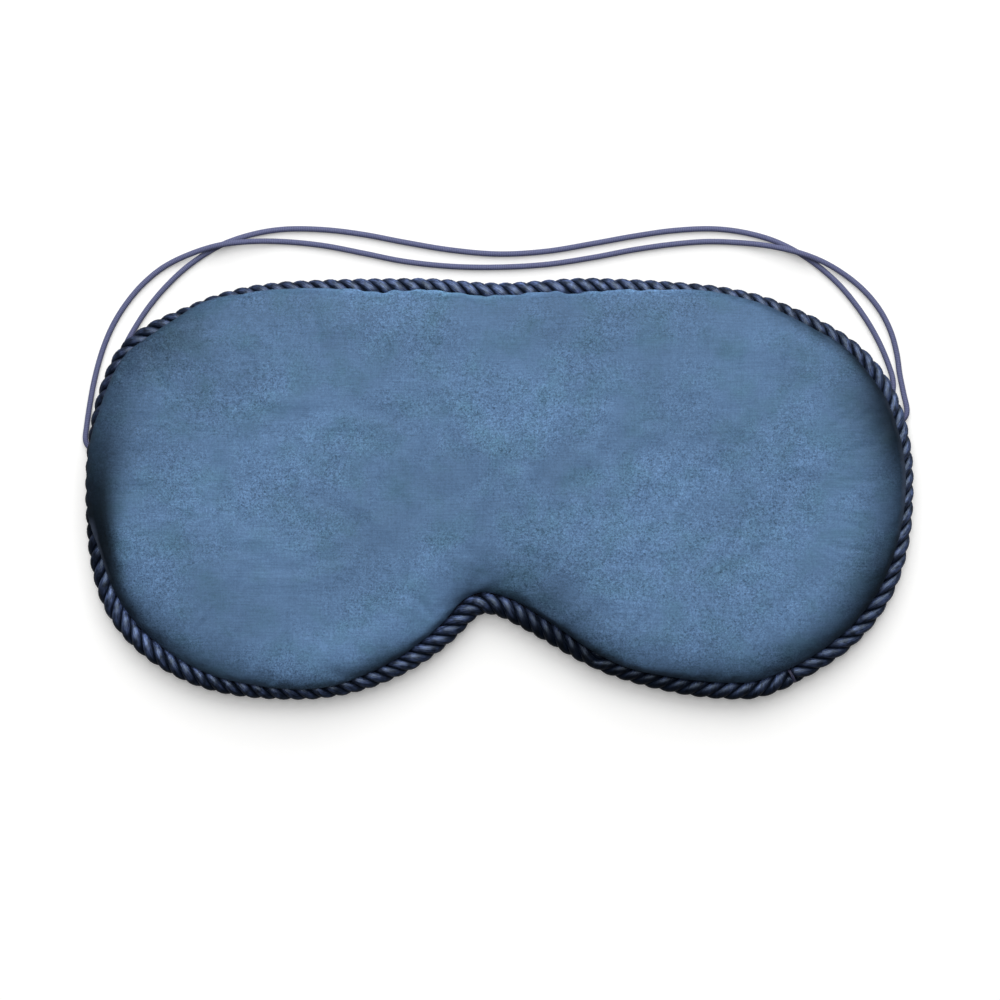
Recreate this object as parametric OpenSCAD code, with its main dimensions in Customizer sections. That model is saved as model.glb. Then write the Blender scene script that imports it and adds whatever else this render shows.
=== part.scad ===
/* [Mask] */
// Overall width from side to side, over the edge cord
mask_w = 207; // [190:1:225]
// Overall height from brow to cheek, over the edge cord
mask_h = 105; // [98:1:112]
// Rise of the nose notch above the lowest point of the lobes
notch_depth = 22; // [17:0.5:26]
// Sideways place of the notch's apex from the middle
notch_x = -3.5; // [-5:0.5:5]
// Run of the notch's left flank, from its apex
notch_left_run = 9; // [8:0.1:10]
// Fall of the notch's left flank, from its apex
notch_left_fall = 6.6; // [6:0.1:7.2]
// Run of the notch's right flank, from its apex
notch_right_run = 11; // [10:0.1:12]
// Fall of the notch's right flank, from its apex
notch_right_fall = 4.4; // [4:0.1:5]
// Dip of the brow edge at the middle
brow_dip = 1.4; // [0:0.1:3]

/* [Pad] */
// Height of the seam above the surface that the mask rests on
seam_z = 4.75; // [4.5:0.05:6]
// Rise of the front panel above its own seam edge
crown = 6.75; // [5:0.25:9]
// Width of the rounded shoulder that rises from the seam to the crown
shoulder_w = 22; // [18:1:22]
// Width of the border where the back panel lifts from the rest surface to the seam
flare_w = 18; // [16:1:22]
// Thickness of the sewn edge, back face to front face
edge_t = 2; // [1.9:0.05:2.4]

/* [Fabric] */
// Thickness of the front and the back panel
fabric_t = 0.5; // [0.3:0.05:0.6]
// Thickness of the blackout layer behind the front panel
blackout_t = 0.3; // [0.2:0.05:0.4]
// Width of the cord's lip tape inside the seam
tape_w = 4.4; // [3.5:0.1:4.6]
// Thickness of the lip tape
tape_t = 0.3; // [0.2:0.05:0.4]

/* [Edge cord] */
// Diameter of the twisted edge cord
cord_d = 5; // [4.6:0.1:5.2]
// Length along the cord in which one ply makes a full turn
cord_lay = 12; // [10:0.5:15]
// Place of the cord's join, as a share of the way round from the middle of the brow
join_share = 0.652; // [0.6:0.002:0.68]
// Gap between the two cut ends of the cord, filled by the tack
join_gap = 0.8; // [0.6:0.1:1.4]

/* [Stitching] */
// Number of stitches round the seam
stitch_count = 108; // [80:1:130]
// Length of one stitch
stitch_l = 2.8; // [2:0.1:3.2]
// Thickness of the sewing thread
thread_d = 0.25; // [0.2:0.01:0.3]
// Width of a bartack along the elastic's end
bartack_w = 1.6; // [1.2:0.1:1.8]
// Length of a bartack across the elastic
bartack_l = 3.2; // [2.8:0.1:5]

/* [Elastics] */
// Diameter of the round elastics
elastic_d = 1.4; // [1:0.05:1.5]
// Bend radius of an elastic as it leaves its bartack
bend_r = 2.8; // [2.8:0.1:3]
// Distance of the left anchor above the middle of the mask
left_anchor_y = 10; // [7:0.5:13]
// Distance of the right anchor above the middle of the mask
right_anchor_y = 17; // [15:0.5:19]
// Height of the anchor line above the rest surface
anchor_z = 1.15; // [1.1:0.05:1.3]
// Reach of the outer elastic's left bend beyond the edge cord's centre line
left_reach = 2.6; // [2.4:0.1:3]
// Reach of the outer elastic's right bend beyond the edge cord's centre line
right_reach = 1.4; // [1.2:0.1:1.8]
// Step along the anchor line from an outer elastic's end to the inner elastic's end
inner_step = 5.5; // [5.4:0.1:6]

/* [Hidden] */

// Clearances: turning fit of an elastic in its bartack, bartack over the rest surface,
// fabric over fabric, panel edge to cord, thread to fabric
turn_fit = 0.05;
rest_gap = 0.1;
layer_gap = 0.05;
cord_gap = 0.1;
thread_gap = 0.12;

// The rim is the centre line of the edge cord, a closed curve through these knots.
// Each knot is [x, y, heading], anticlockwise from the middle of the brow.
half_w = (mask_w - cord_d) / 2;
half_h = (mask_h - cord_d) / 2;
notch_y = notch_depth - half_h;
rim_knots = [
    [0, half_h - brow_dip, 180],
    [-0.2 * half_w, half_h, 180],
    [-0.5 * half_w, 0.99 * half_h, 184],
    [-0.74 * half_w, 0.885 * half_h, 204],
    [-0.94 * half_w, 0.62 * half_h, 244],
    [-half_w, 0, 270],
    [-0.96 * half_w, -0.555 * half_h, 294],
    [-0.78 * half_w, -0.9 * half_h, 334],
    [-0.495 * half_w, -half_h, 0],
    [-0.255 * half_w, -0.885 * half_h, 27],
    [notch_x - notch_left_run, notch_y - notch_left_fall, 44],
    [notch_x, notch_y, 0],
    [notch_x + notch_right_run, notch_y - notch_right_fall, -31],
    [0.28 * half_w, -0.88 * half_h, -20],
    [0.6 * half_w, -half_h, 0],
    [0.78 * half_w, -0.86 * half_h, 30],
    [0.94 * half_w, -0.545 * half_h, 60],
    [half_w, 0.04 * half_h, 90],
    [0.92 * half_w, 0.595 * half_h, 129],
    [0.695 * half_w, 0.88 * half_h, 159],
    [0.24 * half_w, half_h, 179]
];
spans = len(rim_knots);
fine_steps = 24;
pad_steps = 4;

function unit(v) = v / norm(v);
function heading(a) = [cos(a), sin(a)];
function turn(a, b) = ((b - a + 540) % 360) - 180;
function bezier(p, q, r, s, t) =
    pow(1 - t, 3) * p + 3 * pow(1 - t, 2) * t * q + 3 * (1 - t) * t * t * r + pow(t, 3) * s;
function span_point(a, b, t) =
    let (p = [a.x, a.y], s = [b.x, b.y])
    let (reach = norm(s - p) / 3 / pow(cos(turn(a.z, b.z) / 4), 2))
    bezier(p, p + reach * heading(a.z), s - reach * heading(b.z), s, t);

fine = [for (i = [0:spans - 1], k = [0:fine_steps - 1])
    span_point(rim_knots[i], rim_knots[(i + 1) % spans], k / fine_steps)];
fine_n = len(fine);
function fine_at(i) = fine[(i + fine_n) % fine_n];
run = [for (i = 0, s = 0; i <= fine_n; s = s + norm(fine_at(i + 1) - fine_at(i)), i = i + 1) s];
rim_len = run[fine_n];
run_x = [for (i = [0:fine_n]) [run[i], fine_at(i).x]];
run_y = [for (i = [0:fine_n]) [run[i], fine_at(i).y]];

// Point, direction and outward normal of the rim at a distance s along it
function rim_at(s) =
    let (m = (s + rim_len) % rim_len)
    [lookup(m, run_x), lookup(m, run_y)];
dir_step = 0.5;
function rim_dir(s) = unit(rim_at(s + dir_step) - rim_at(s - dir_step));
function outward(d) = [d.y, -d.x];

// The pad's edge runs inside the cord. Its rings lie at set distances inside that edge.
seam_inset = cord_d / 2 + cord_gap;
ring_steps = [0, 1.2, tape_w, tape_w + 0.5, 9, 15, 22];
pad_middle = [0, 0.24 * half_h];
pad_n = spans * pad_steps;
pad_base = [for (i = [0:pad_n - 1]) fine_at(i * fine_steps / pad_steps)];
pad_in = [for (i = [0:pad_n - 1])
    let (j = i * fine_steps / pad_steps)
    -outward(unit(fine_at(j + 1) - fine_at(j - 1)))];

// Inward directions, averaged over their neighbours so that the inner rings stay open
even_reach = 3;
function pad_in_at(i) = pad_in[(i + pad_n) % pad_n];
function sum(v, i = 0) = i == len(v) - 1 ? v[i] : v[i] + sum(v, i + 1);
pad_even = [for (i = [0:pad_n - 1]) unit(sum([for (j = [-even_reach:even_reach]) pad_in_at(i + j)]))];
function pad_ring(d, z) =
    let (w = min(1, d / shoulder_w))
    [for (i = [0:pad_n - 1])
        let (way = unit((1 - w) * pad_in[i] + w * pad_even[i]))
        let (p = pad_base[i] + (seam_inset + d) * way)
        [p.x, p.y, z]];

// Height of the mask's back face and front face at a distance d inside the pad's edge
function back_z(d) = (seam_z - edge_t / 2) * pow(max(0, 1 - d / flare_w), 1.4);
function front_z(d) =
    seam_z + edge_t / 2 + crown * sqrt(1 - pow(1 - min(1, d / shoulder_w), 2));

// Stack of the pad from the back: panel, tape, thread, wadding, blackout layer, front panel
function tape_z(d) = back_z(d) + fabric_t + layer_gap;
function thread_z(d) = tape_z(d) + tape_t + thread_gap;
function fill_z(d) =
    d <= tape_w ? thread_z(d) + thread_d + thread_gap : back_z(d) + fabric_t + layer_gap;
function blackout_z(d) = front_z(d) - fabric_t - layer_gap - blackout_t;

// Closed layer between two heights, with rings at the distances ds inside the pad's edge
module pad_layer(ds, lows, highs) {
    m = len(ds);
    n = pad_n;
    points = concat(
        [for (k = [0:m - 1]) each pad_ring(ds[k], lows[k])],
        [for (k = [0:m - 1]) each pad_ring(ds[k], highs[k])],
        [[pad_middle.x, pad_middle.y, lows[m - 1]], [pad_middle.x, pad_middle.y, highs[m - 1]]]
    );
    top = m * n;
    under = [for (k = [0:m - 2], i = [0:n - 1])
        let (a = k * n + i, b = k * n + (i + 1) % n)
        each [[a, b, b + n], [a, b + n, a + n]]];
    over = [for (f = under) [f[0] + top, f[2] + top, f[1] + top]];
    wall = [for (i = [0:n - 1])
        let (a = i, b = (i + 1) % n)
        each [[a, a + top, b + top], [a, b + top, b]]];
    caps = [for (i = [0:n - 1])
        let (a = (m - 1) * n + i, b = (m - 1) * n + (i + 1) % n)
        each [[a, b, 2 * top], [b + top, a + top, 2 * top + 1]]];
    polyhedron(points, concat(under, over, wall, caps), convexity = 6);
}

// Closed ring between two heights, from the first to the last of the distances ds
module pad_band(ds, lows, highs) {
    m = len(ds);
    n = pad_n;
    points = concat(
        [for (k = [0:m - 1]) each pad_ring(ds[k], lows[k])],
        [for (k = [0:m - 1]) each pad_ring(ds[m - 1 - k], highs[m - 1 - k])]
    );
    rows = 2 * m;
    faces = [for (k = [0:rows - 1], i = [0:n - 1])
        let (a = k * n + i, b = k * n + (i + 1) % n, up = ((k + 1) % rows - k) * n)
        each [[a, b, b + up], [a, b + up, a + up]]];
    polyhedron(points, faces, convexity = 6);
}

module front_panel() {
    color("steelblue")
        pad_layer(ring_steps, [for (d = ring_steps) front_z(d) - fabric_t],
                  [for (d = ring_steps) front_z(d)]);
}

module blackout_layer() {
    color([0.08, 0.08, 0.09])
        pad_layer(ring_steps, [for (d = ring_steps) blackout_z(d)],
                  [for (d = ring_steps) blackout_z(d) + blackout_t]);
}

module wadding() {
    inner_steps = [for (d = ring_steps) if (d > 0) d];
    color("whitesmoke")
        pad_layer(inner_steps, [for (d = inner_steps) fill_z(d)],
                  [for (d = inner_steps) blackout_z(d) - layer_gap]);
}

module back_panel() {
    color([0.22, 0.34, 0.5])
        pad_layer(ring_steps, [for (d = ring_steps) back_z(d)],
                  [for (d = ring_steps) back_z(d) + fabric_t]);
}

module lip_tape() {
    tape_steps = [for (d = ring_steps) if (d <= tape_w) d];
    color([0.12, 0.13, 0.22])
        pad_band(tape_steps, [for (d = tape_steps) tape_z(d)],
                 [for (d = tape_steps) tape_z(d) + tape_t]);
}

module seam_stitches() {
    row = tape_w / 2;
    thread_w = 1.6 * thread_d;
    color([0.1, 0.12, 0.25])
        for (i = [0:stitch_count - 1]) {
            s = (i + 0.5) * rim_len / stitch_count;
            dir = rim_dir(s);
            at = rim_at(s) - (seam_inset + row) * outward(dir);
            translate([at.x, at.y, thread_z(row) + thread_d / 2])
                rotate([0, 0, atan2(dir.y, dir.x)])
                    cube([stitch_l, thread_w, thread_d], center = true);
        }
}

// The edge cord: three plies laid right-handed round the rim
cord_plies = 3;
ply_rings = 6;
ply_sides = 6;
ply_turn_r = 0.58 * cord_d / 2;
ply_r = 0.42 * cord_d / 2;
cord_start = join_share * rim_len + join_gap / 2;
cord_run = rim_len - join_gap;
ply_n = round(cord_run / cord_lay * ply_rings);

function ply_centre(k, s) =
    let (dir = rim_dir(s), out = outward(dir), p = rim_at(s))
    let (a = 360 * k / cord_plies - 360 * (s - cord_start) / cord_lay)
    [p.x + ply_turn_r * cos(a) * out.x, p.y + ply_turn_r * cos(a) * out.y,
     seam_z + ply_turn_r * sin(a)];
function ply_ring(k, s) =
    let (out = outward(rim_dir(s)), c = ply_centre(k, s))
    [for (j = [0:ply_sides - 1])
        let (a = 360 * (j + 0.5) / ply_sides)
        c + ply_r * [cos(a) * out.x, cos(a) * out.y, sin(a)]];

// Closed tube through a list of rings, each a list of points
module skin(rings) {
    m = len(rings);
    n = len(rings[0]);
    sides = [for (k = [0:m - 2], i = [0:n - 1])
        let (a = k * n + i, b = k * n + (i + 1) % n)
        each [[a, b, b + n], [a, b + n, a + n]]];
    first = [for (i = [1:n - 2]) [0, i + 1, i]];
    last = [for (i = [1:n - 2]) [(m - 1) * n, (m - 1) * n + i, (m - 1) * n + i + 1]];
    polyhedron([for (r = rings) each r], concat(sides, first, last), convexity = 8);
}

module edge_cord_ply(k) {
    color([0.13, 0.15, 0.3])
        skin([for (i = [0:ply_n]) ply_ring(k, cord_start + cord_run * i / ply_n)]);
}

module edge_cord_ply_1() {
    edge_cord_ply(0);
}

module edge_cord_ply_2() {
    edge_cord_ply(1);
}

module edge_cord_ply_3() {
    edge_cord_ply(2);
}

module cord_join_tack() {
    s = join_share * rim_len;
    dir = rim_dir(s);
    at = rim_at(s);
    color([0.08, 0.09, 0.2])
        translate([at.x, at.y, seam_z])
            rotate([0, 0, atan2(dir.y, dir.x)])
                rotate([0, 90, 0])
                    cylinder(d = 0.9 * cord_d, h = join_gap - 2 * layer_gap, center = true, $fn = 48);
}

// The anchor line joins the left and the right anchor, under the edge cord.
// Both elastics have their ends on it and swing round it.
function anchor_y(x) =
    left_anchor_y + (right_anchor_y - left_anchor_y) * (x + half_w) / (2 * half_w);
anchor_tilt = atan2(right_anchor_y - left_anchor_y, 2 * half_w);
function anchor(x) = [x, anchor_y(x), anchor_z];

// Where each elastic's end lies on the anchor line: [end of the stub, start of the bend]
stub_over = 0.2;
stub_l = bartack_w + 2 * stub_over;
left_out = half_w + left_reach - bend_r;
right_out = half_w + right_reach - bend_r;
outer_ends = [[-left_out + stub_l, -left_out], [right_out - stub_l, right_out]];
inner_ends = [for (e = outer_ends)
    let (side = sign(e.x))
    [e[1] - side * (inner_step + stub_l), e[1] - side * inner_step]];

module bartack(ends) {
    block_h = 2 * (anchor_z - rest_gap);
    corner = 0.4;
    color([0.1, 0.12, 0.25])
        translate(anchor((ends[0] + ends[1]) / 2))
            rotate([0, 0, anchor_tilt])
                rotate([90, 0, 90])
                    difference() {
                        linear_extrude(bartack_w, center = true)
                            union() {
                                square([bartack_l - 2 * corner, block_h], center = true);
                                square([bartack_l, block_h - 2 * corner], center = true);
                                for (x = [-1, 1], y = [-1, 1])
                                    translate([x * (bartack_l / 2 - corner), y * (block_h / 2 - corner)])
                                        circle(corner, $fn = 32);
                            }
                        cylinder(d = elastic_d + 2 * turn_fit, h = 2 * bartack_w, center = true,
                                 $fn = 48);
                    }
}

module left_outer_bartack() {
    bartack(outer_ends[0]);
}

module left_inner_bartack() {
    bartack(inner_ends[0]);
}

module right_inner_bartack() {
    bartack(inner_ends[1]);
}

module right_outer_bartack() {
    bartack(outer_ends[1]);
}

// Routes of the elastics over the brow, from left to right, lying on the rest surface.
// The outer elastic passes over the inner one at both crossings.
outer_route = [
    [-103.4, 16, 0.8], [-102.6, 21.5, 0.7], [-101.7, 26.5, 0.7], [-100.5, 31.5, 0.7],
    [-98.9, 36.5, 0.7], [-96.7, 41.5, 0.7], [-93.6, 46.5, 0.7], [-89.4, 51.5, 0.7],
    [-84, 55.9, 0.7], [-77, 59.2, 1.6], [-69.8, 61.3, 2.5], [-62, 62.2, 1.6],
    [-54, 62.2, 0.7], [-44, 61.2, 0.7], [-34, 59.3, 0.7], [-24, 57.3, 0.7],
    [-12, 56, 0.7], [0, 55.8, 0.7], [12, 56.5, 0.7], [24, 58.3, 0.7],
    [34, 60.2, 0.7], [44, 61.6, 0.7], [52, 62.2, 0.7], [59.5, 62, 0.7],
    [67.5, 61.1, 1.6], [75.3, 59.3, 2.5], [82, 56.7, 1.6], [88.5, 52.6, 0.7],
    [92.8, 48.6, 0.7], [96, 44.3, 0.7], [98.4, 39.3, 0.7], [99.8, 34, 0.7],
    [100.5, 29, 0.7], [101.4, 24.5, 0.8]
];
inner_route = [
    [-98.3, 16, 0.9], [-97.6, 22, 0.7], [-96.2, 28.5, 0.7], [-94, 35.5, 0.7],
    [-90.8, 41.4, 0.7], [-87.4, 46.4, 0.7], [-83.1, 51.4, 0.7], [-77.6, 56.4, 0.7],
    [-70, 61.2, 0.7], [-62, 64, 0.7], [-54, 65.3, 0.7], [-44, 65.2, 0.7],
    [-34, 64, 0.7], [-24, 62.1, 0.7], [-12, 60.1, 0.7], [0, 59.1, 0.7],
    [12, 59.8, 0.7], [24, 61.8, 0.7], [34, 63.6, 0.7], [44, 65, 0.7],
    [54, 65.4, 0.7], [62, 64.4, 0.7], [69, 62.4, 0.7], [75.3, 59.3, 0.7],
    [80.3, 55.9, 0.7], [85.4, 51.3, 0.7], [89.5, 46.4, 0.7], [92.9, 41.4, 0.7],
    [95.6, 36.4, 0.7], [97.6, 31.6, 0.7], [98.8, 27.5, 0.7], [98.7, 24.2, 0.8]
];

// Bend from the anchor line into the route: the point at an angle a round the bend
bend_steps = [0, 30, 60, 90];
bend_lead = 0.15;
function bend_point(start, side, a) =
    let (p = anchor(start))
    let (along = side * bend_r * sin(a), across = bend_r * (1 - cos(a)))
    [p.x + along * cos(anchor_tilt) - across * sin(anchor_tilt),
     p.y + along * sin(anchor_tilt) + across * cos(anchor_tilt), p.z];
function elastic_end(ends) =
    let (side = sign(ends[1]))
    concat([anchor(ends[0]), anchor(ends[1] - side * bend_lead)],
           [for (a = bend_steps) bend_point(ends[1], side, a)]);
function backwards(v) = [for (i = [len(v) - 1:-1:0]) v[i]];

elastic_sides = 8;
function tube_ring(p, dir) =
    let (side = unit(cross(dir, [0, 0, 1])), up = cross(side, dir))
    [for (j = [0:elastic_sides - 1])
        let (a = 360 * (j + 0.5) / elastic_sides)
        p + elastic_d / 2 * (cos(a) * side + sin(a) * up)];

module elastic(ends, route) {
    path = concat(elastic_end(ends[0]), route, backwards(elastic_end(ends[1])));
    last = len(path) - 1;
    color([0.3, 0.3, 0.46])
        skin([for (i = [0:last])
            tube_ring(path[i], unit(path[min(i + 1, last)] - path[max(i - 1, 0)]))]);
}

module inner_elastic() {
    elastic(inner_ends, inner_route);
}

module outer_elastic() {
    elastic(outer_ends, outer_route);
}

front_panel();
blackout_layer();
wadding();
back_panel();
lip_tape();
seam_stitches();
edge_cord_ply_1();
edge_cord_ply_2();
edge_cord_ply_3();
cord_join_tack();
left_outer_bartack();
left_inner_bartack();
right_inner_bartack();
right_outer_bartack();
inner_elastic();
outer_elastic();
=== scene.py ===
import math

import bmesh
import bpy
import numpy as np
from mathutils.geometry import delaunay_2d_cdt
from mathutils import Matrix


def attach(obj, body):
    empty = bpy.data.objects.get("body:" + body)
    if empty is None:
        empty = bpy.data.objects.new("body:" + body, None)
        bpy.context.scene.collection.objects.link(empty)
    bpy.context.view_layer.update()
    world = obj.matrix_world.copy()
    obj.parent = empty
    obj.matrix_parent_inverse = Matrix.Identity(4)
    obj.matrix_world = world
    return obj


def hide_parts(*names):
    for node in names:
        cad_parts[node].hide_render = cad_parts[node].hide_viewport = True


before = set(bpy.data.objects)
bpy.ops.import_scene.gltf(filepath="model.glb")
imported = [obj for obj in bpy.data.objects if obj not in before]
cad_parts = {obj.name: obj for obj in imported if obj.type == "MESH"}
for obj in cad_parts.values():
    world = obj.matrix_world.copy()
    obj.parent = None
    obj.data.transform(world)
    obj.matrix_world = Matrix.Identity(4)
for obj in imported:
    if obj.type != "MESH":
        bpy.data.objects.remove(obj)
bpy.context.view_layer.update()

MM = 0.001


# ---- the rim, as in part.scad

CORD_D = 5.0
HALF_W = (207.0 - CORD_D) / 2
HALF_H = (105.0 - CORD_D) / 2
NOTCH_X = -3.5
NOTCH_Y = 22.0 - HALF_H
SEAM_Z = 4.75
SEAM_INSET = CORD_D / 2 + 0.1
CROWN_Z = 12.5
JOIN_SHARE = 0.652
JOIN_GAP = 0.8

# Points that the rim passes through, with its heading there in degrees
KNOTS = [
    (0, HALF_H - 1.4, 180), (-0.2 * HALF_W, HALF_H, 180), (-0.5 * HALF_W, 0.99 * HALF_H, 184),
    (-0.74 * HALF_W, 0.885 * HALF_H, 204), (-0.94 * HALF_W, 0.62 * HALF_H, 244),
    (-HALF_W, 0, 270), (-0.96 * HALF_W, -0.555 * HALF_H, 294),
    (-0.78 * HALF_W, -0.9 * HALF_H, 334), (-0.495 * HALF_W, -HALF_H, 0),
    (-0.255 * HALF_W, -0.885 * HALF_H, 27), (NOTCH_X - 9, NOTCH_Y - 6.6, 44),
    (NOTCH_X, NOTCH_Y, 0), (NOTCH_X + 11, NOTCH_Y - 4.4, -31),
    (0.28 * HALF_W, -0.88 * HALF_H, -20), (0.6 * HALF_W, -HALF_H, 0),
    (0.78 * HALF_W, -0.86 * HALF_H, 30), (0.94 * HALF_W, -0.545 * HALF_H, 60),
    (HALF_W, 0.04 * HALF_H, 90), (0.92 * HALF_W, 0.595 * HALF_H, 129),
    (0.695 * HALF_W, 0.88 * HALF_H, 159), (0.24 * HALF_W, HALF_H, 179),
]


def heading(degrees):
    a = math.radians(degrees)
    return np.array([math.cos(a), math.sin(a)])


def unit(v):
    """Vectors of length 1 in the directions of v, along its last axis."""
    return v / np.linalg.norm(v, axis=-1, keepdims=True)


def run_along(points):
    """How far along a path each of its points lies."""
    return np.concatenate([[0], np.cumsum(np.linalg.norm(np.diff(points, axis=0), axis=1))])


def span_points(a, b, steps):
    """Points of the rim's curve from knot a up to knot b."""
    p, s = np.array(a[:2], float), np.array(b[:2], float)
    bend = (b[2] - a[2] + 540) % 360 - 180
    reach = np.linalg.norm(s - p) / 3 / math.cos(math.radians(bend / 4)) ** 2
    q, r = p + reach * heading(a[2]), s - reach * heading(b[2])
    t = (np.arange(steps) / steps)[:, None]
    return (1 - t) ** 3 * p + 3 * (1 - t) ** 2 * t * q + 3 * (1 - t) * t * t * r + t ** 3 * s


def rim_table():
    """Close points of the rim, and how far each lies along it."""
    steps = 48
    pts = np.vstack([span_points(a, b, steps) for a, b in zip(KNOTS, KNOTS[1:] + KNOTS[:1])])
    pts = np.vstack([pts, pts[:1]])
    return pts, run_along(pts)


RIM, RUN = rim_table()
RIM_LEN = RUN[-1]
JOIN_S = JOIN_SHARE * RIM_LEN


def rim_at(s):
    """Points of the rim at the distances s along it."""
    m = np.mod(s, RIM_LEN)
    return np.stack([np.interp(m, RUN, RIM[:, 0]), np.interp(m, RUN, RIM[:, 1])], axis=-1)


def rim_out(s):
    """Outward normal of the rim at the distances s along it."""
    reach = 0.7
    d = unit(rim_at(s + reach) - rim_at(s - reach))
    return np.stack([d[..., 1], -d[..., 0]], axis=-1)


def ring_smooth(values, sigma, step):
    """Gaussian smoothing of values that lie round the closed rim at this step."""
    if sigma < 0.3 * step:
        return values
    n = len(values)
    k = np.fft.rfftfreq(n, d=step)
    w = np.exp(-2 * (math.pi * k * sigma) ** 2)
    if values.ndim == 2:
        w = w[:, None]
    return np.fft.irfft(np.fft.rfft(values, axis=0) * w, n, axis=0)


def round_rim(table, s, sigma=0.012, column=1):
    """A column of a table against the share of the rim, smoothed and read at the distances s."""
    x = np.array([p[0] for p in table], float)
    y = np.array([p[column] for p in table], float)
    n = 1024
    g = np.interp(np.arange(n) / n, np.concatenate([x - 1, x, x + 1]), np.tile(y, 3))
    g = ring_smooth(g, sigma, 1 / n)
    return np.interp(np.mod(s / RIM_LEN, 1), np.arange(n + 1) / n, np.append(g, g[0]))


def value_noise(x, seed):
    """Smooth one-dimensional noise from -1 to 1."""
    size = 4096
    table = np.random.RandomState(seed).uniform(-1, 1, size)
    i = np.floor(x).astype(int)
    f = x - i
    f = f * f * (3 - 2 * f)
    return table[i % size] * (1 - f) + table[(i + 1) % size] * f


def plane_noise(x, y, seed):
    """Smooth two-dimensional noise from about -1 to 1."""
    rng = np.random.RandomState(seed)
    out = np.zeros_like(x)
    waves = 10
    for _ in range(waves):
        a, p = rng.uniform(0, 2 * math.pi, 2)
        k = rng.uniform(0.6, 1.5)
        out += np.sin(k * (x * math.cos(a) + y * math.sin(a)) + p)
    return out / 4


# ---- camera, light and floor

def add_object(name, data):
    obj = bpy.data.objects.new(name, data)
    bpy.context.scene.collection.objects.link(obj)
    return obj


def add_camera():
    """A long lens straight above the mask."""
    data = bpy.data.cameras.new("camera")
    data.lens = 172.8
    data.sensor_width = 36
    data.clip_start = 0.05
    data.clip_end = 10
    camera = add_object("camera", data)
    camera.location = (0.00025, -0.0026, 1.20475)
    bpy.context.scene.camera = camera


def aim(obj, target):
    """Turns a lamp so that it shines at the target."""
    way = unit(np.array(target) - np.array(obj.location))
    obj.rotation_euler = (math.acos(-way[2]), 0, math.atan2(way[1], way[0]) - math.pi / 2)


def add_area(name, location, size, energy):
    """A rectangular soft light of size (width, height) that faces the mask."""
    data = bpy.data.lights.new(name, "AREA")
    data.shape = "RECTANGLE"
    data.size, data.size_y = size
    data.energy = energy
    lamp = add_object(name, data)
    lamp.location = location
    aim(lamp, (0, 0, 0))


def add_lights():
    add_area("key", (0.1, 2.05, 2.06), (3.0, 2.6), 93)
    add_area("top", (-0.1, 0.35, 2.6), (1.1, 1.1), 24)


def add_world():
    """A faint even light on the mask, and white where the camera sees past the floor."""
    world = bpy.data.worlds.new("studio")
    bpy.context.scene.world = world
    world.use_nodes = True
    tree = world.node_tree
    tree.nodes.clear()
    out = tree.nodes.new("ShaderNodeOutputWorld")
    path = tree.nodes.new("ShaderNodeLightPath")
    mix = tree.nodes.new("ShaderNodeMixShader")
    tree.links.new(path.outputs["Is Camera Ray"], mix.inputs[0])
    for socket, strength in ((mix.inputs[1], 0.06), (mix.inputs[2], 1.0)):
        background = add_node(tree, "Background", {"Color": (1, 1, 1, 1), "Strength": strength})
        tree.links.new(background.outputs[0], socket)
    tree.links.new(mix.outputs[0], out.inputs[0])


def floor_material():
    """Pale paper for the camera, with a little glow, and grey for the light that it throws back."""
    mat, tree, out = new_tree("floor_paper")
    path = tree.nodes.new("ShaderNodeLightPath")
    seen = path.outputs["Is Camera Ray"]
    diffuse = tree.nodes.new("ShaderNodeBsdfDiffuse")
    tree.links.new(mix_colour(tree, seen, (0.2, 0.2, 0.2, 1), (0.88, 0.88, 0.874, 1)),
                   diffuse.inputs["Color"])
    glow = tree.nodes.new("ShaderNodeEmission")
    tree.links.new(times(tree, seen, 0.2), glow.inputs["Strength"])
    add = tree.nodes.new("ShaderNodeAddShader")
    tree.links.new(diffuse.outputs[0], add.inputs[0])
    tree.links.new(glow.outputs[0], add.inputs[1])
    tree.links.new(add.outputs[0], out.inputs["Surface"])
    return mat


def add_floor():
    size, z = 3.0, -0.0002
    mesh = bpy.data.meshes.new("floor")
    corners = [(-size, -size, z), (size, -size, z), (size, size, z), (-size, size, z)]
    mesh.from_pydata(corners, [], [(0, 1, 2, 3)])
    mesh.materials.append(floor_material())
    floor = add_object("floor", mesh)


# ---- node helpers

def new_tree(name):
    """A new material, its node tree and its output node."""
    mat = bpy.data.materials.new(name)
    mat.use_nodes = True
    tree = mat.node_tree
    tree.nodes.clear()
    out = tree.nodes.new("ShaderNodeOutputMaterial")
    return mat, tree, out


def add_node(tree, kind, values):
    """A new node with these values on its inputs."""
    n = tree.nodes.new("ShaderNode" + kind)
    for key, value in values.items():
        n.inputs[key].default_value = value
    return n


def new_material(name, roughness, specular=0.5, sheen=0.0, sheen_roughness=0.5,
                 sheen_tint=(1, 1, 1, 1), specular_tint=(1, 1, 1, 1)):
    """A new material, its node tree and its shader, with what is even all over set on it."""
    mat, tree, out = new_tree(name)
    bsdf = add_node(tree, "BsdfPrincipled", {
        "Roughness": roughness, "Specular IOR Level": specular, "Specular Tint": specular_tint,
        "Sheen Weight": sheen, "Sheen Roughness": sheen_roughness, "Sheen Tint": sheen_tint})
    tree.links.new(bsdf.outputs[0], out.inputs["Surface"])
    return mat, tree, bsdf


def coordinates(tree, kind, scale):
    """Object or UV coordinates times a scale, one number or three."""
    source = tree.nodes.new("ShaderNodeTexCoord")
    scale = scale if isinstance(scale, tuple) else (scale,) * 3
    mapping = add_node(tree, "Mapping", {"Scale": scale})
    tree.links.new(source.outputs[kind], mapping.inputs["Vector"])
    return mapping.outputs[0]


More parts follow.
